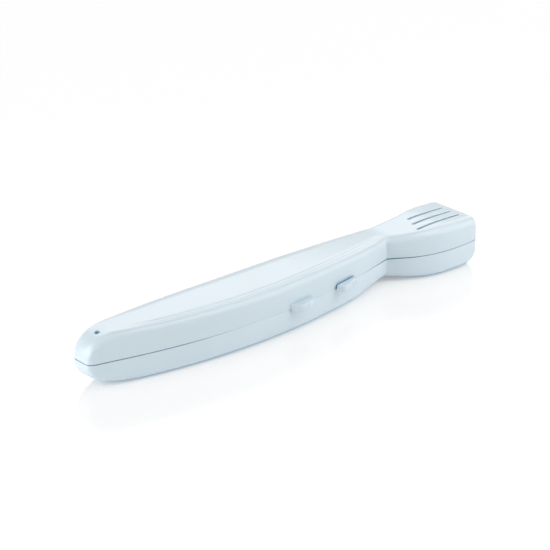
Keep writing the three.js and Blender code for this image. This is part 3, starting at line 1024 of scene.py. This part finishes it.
def add_soft_box(name, towards, distance, width, height, power):
    """One flat lamp that faces the case."""
    towards = Vector(towards).normalized()
    data = bpy.data.lights.new(name, "AREA")
    data.shape = "RECTANGLE"
    data.size = width
    data.size_y = height
    data.energy = power
    lamp = bpy.data.objects.new(name, data)
    lamp.location = towards * distance
    lamp.rotation_euler = towards.to_track_quat("Z", "Y").to_euler()
    bpy.context.scene.collection.objects.link(lamp)


def seen_rays(tree):
    """1 for rays from the camera, a reflection or a clear piece, 0 for the light itself."""
    names = ("Is Camera Ray", "Is Glossy Ray", "Is Transmission Ray")
    path = [tree.node("ShaderNodeLightPath", output=name) for name in names]
    return tree.node("ShaderNodeClamp", None, {"Value": path[0] + path[1] + path[2]})


def floor_material():
    """Glossy white surface, which keeps the case's shadow and a faint reflection of the case."""
    material, tree = new_material("floor_white")
    lit = tree.node("ShaderNodeBsdfDiffuse", None, {"Color": (*colours().floor, 1)})
    white = tree.node("ShaderNodeEmission", None, PLAIN_WHITE)
    open_air = occlusion(tree, FLOOR_OCCLUSION_SAMPLES, FLOOR_SHADOW_REACH)
    share = FLOOR_WHITE_NEAR + (FLOOR_WHITE_FAR - FLOOR_WHITE_NEAR) * open_air
    matt = tree.node("ShaderNodeMixShader", None, {0: seen_rays(tree) * share, 1: lit, 2: white})
    gloss = {"Color": (1, 1, 1, 1), "Roughness": FLOOR_GLOSS_ROUGHNESS}
    sheen = tree.node("ShaderNodeBsdfGlossy", None, gloss)
    fresnel = tree.node("ShaderNodeFresnel", None, {"IOR": FLOOR_GLOSS_IOR})
    shader = tree.node("ShaderNodeMixShader", None, {0: fresnel, 1: matt, 2: sheen})
    tree.node("ShaderNodeOutputMaterial", None, {"Surface": shader})
    return material


def add_floor():
    """Floor just under the case."""
    mesh = bmesh.new()
    bmesh.ops.create_grid(mesh, x_segments=1, y_segments=1, size=FLOOR_HALF_WIDTH)
    floor = piece_from(mesh, "floor")
    floor.location.z = -FLOOR_DROP
    floor.data.materials.append(floor_material())


def light_world():
    """Soft light all round, and plain white for what the camera and reflections see."""
    world = bpy.data.worlds.new("studio")
    world.use_nodes = True
    bpy.context.scene.world = world
    tree = Tree(world.node_tree)
    light = tree.node("ShaderNodeBackground", None, {"Color": (1, 1, 1, 1), "Strength": AMBIENT})
    white = tree.node("ShaderNodeBackground", None, PLAIN_WHITE)
    mixed = tree.node("ShaderNodeMixShader", None, {0: seen_rays(tree), 1: light, 2: white})
    tree.node("ShaderNodeOutputWorld", None, {"Surface": mixed})


# Operators and panel


class CASE_OT_base(Operator):
    """Build the lower shell with its lip, ribs, tab and hinge knuckles"""

    bl_idname = "case.base"
    bl_label = "Lower shell"

    def execute(self, context):
        build_base()
        return {"FINISHED"}


class CASE_OT_lid(Operator):
    """Build the upper shell with its vents, hole, tab and hinge knuckles"""

    bl_idname = "case.lid"
    bl_label = "Upper shell"

    def execute(self, context):
        build_lid()
        return {"FINISHED"}


class CASE_OT_pins(Operator):
    """Build the two hinge pins"""

    bl_idname = "case.pins"
    bl_label = "Hinge pins"

    def execute(self, context):
        material = pin_steel()
        for node in PIN_BOXES:
            build_pin(node, material)
        return {"FINISHED"}


class CASE_OT_stage(Operator):
    """Add the floor, the soft studio light and the camera"""

    bl_idname = "case.stage"
    bl_label = "Stage"

    def execute(self, context):
        add_floor()
        light_world()
        for soft_box in SOFT_BOXES:
            add_soft_box(*soft_box)
        add_camera()
        context.scene.view_settings.view_transform = "Standard"
        return {"FINISHED"}


OPERATORS = (CASE_OT_base, CASE_OT_lid, CASE_OT_pins, CASE_OT_stage)


class CASE_PT_panel(Panel):
    """Lists the case's sizes, colours and pieces"""

    bl_idname = "CASE_PT_panel"
    bl_label = "Toothbrush case"
    bl_space_type = "VIEW_3D"
    bl_region_type = "UI"
    bl_category = "Toothbrush case"

    def draw(self, context):
        for group in (context.scene.case_sizes, context.scene.case_colours):
            box = self.layout.box()
            for name in group.__annotations__:
                box.prop(group, name)
        for operator in OPERATORS:
            self.layout.operator(operator.bl_idname)


CLASSES = (CaseSizes, CaseColours) + OPERATORS + (CASE_PT_panel,)


def register():
    for item in CLASSES:
        bpy.utils.register_class(item)
    bpy.types.Scene.case_sizes = PointerProperty(type=CaseSizes)
    bpy.types.Scene.case_colours = PointerProperty(type=CaseColours)


def unregister():
    del bpy.types.Scene.case_colours
    del bpy.types.Scene.case_sizes
    for item in reversed(CLASSES):
        bpy.utils.unregister_class(item)


def main():
    register()
    bpy.ops.case.stage()
    bpy.ops.case.base()
    bpy.ops.case.lid()
    bpy.ops.case.pins()


if __name__ == "__main__":
    main()
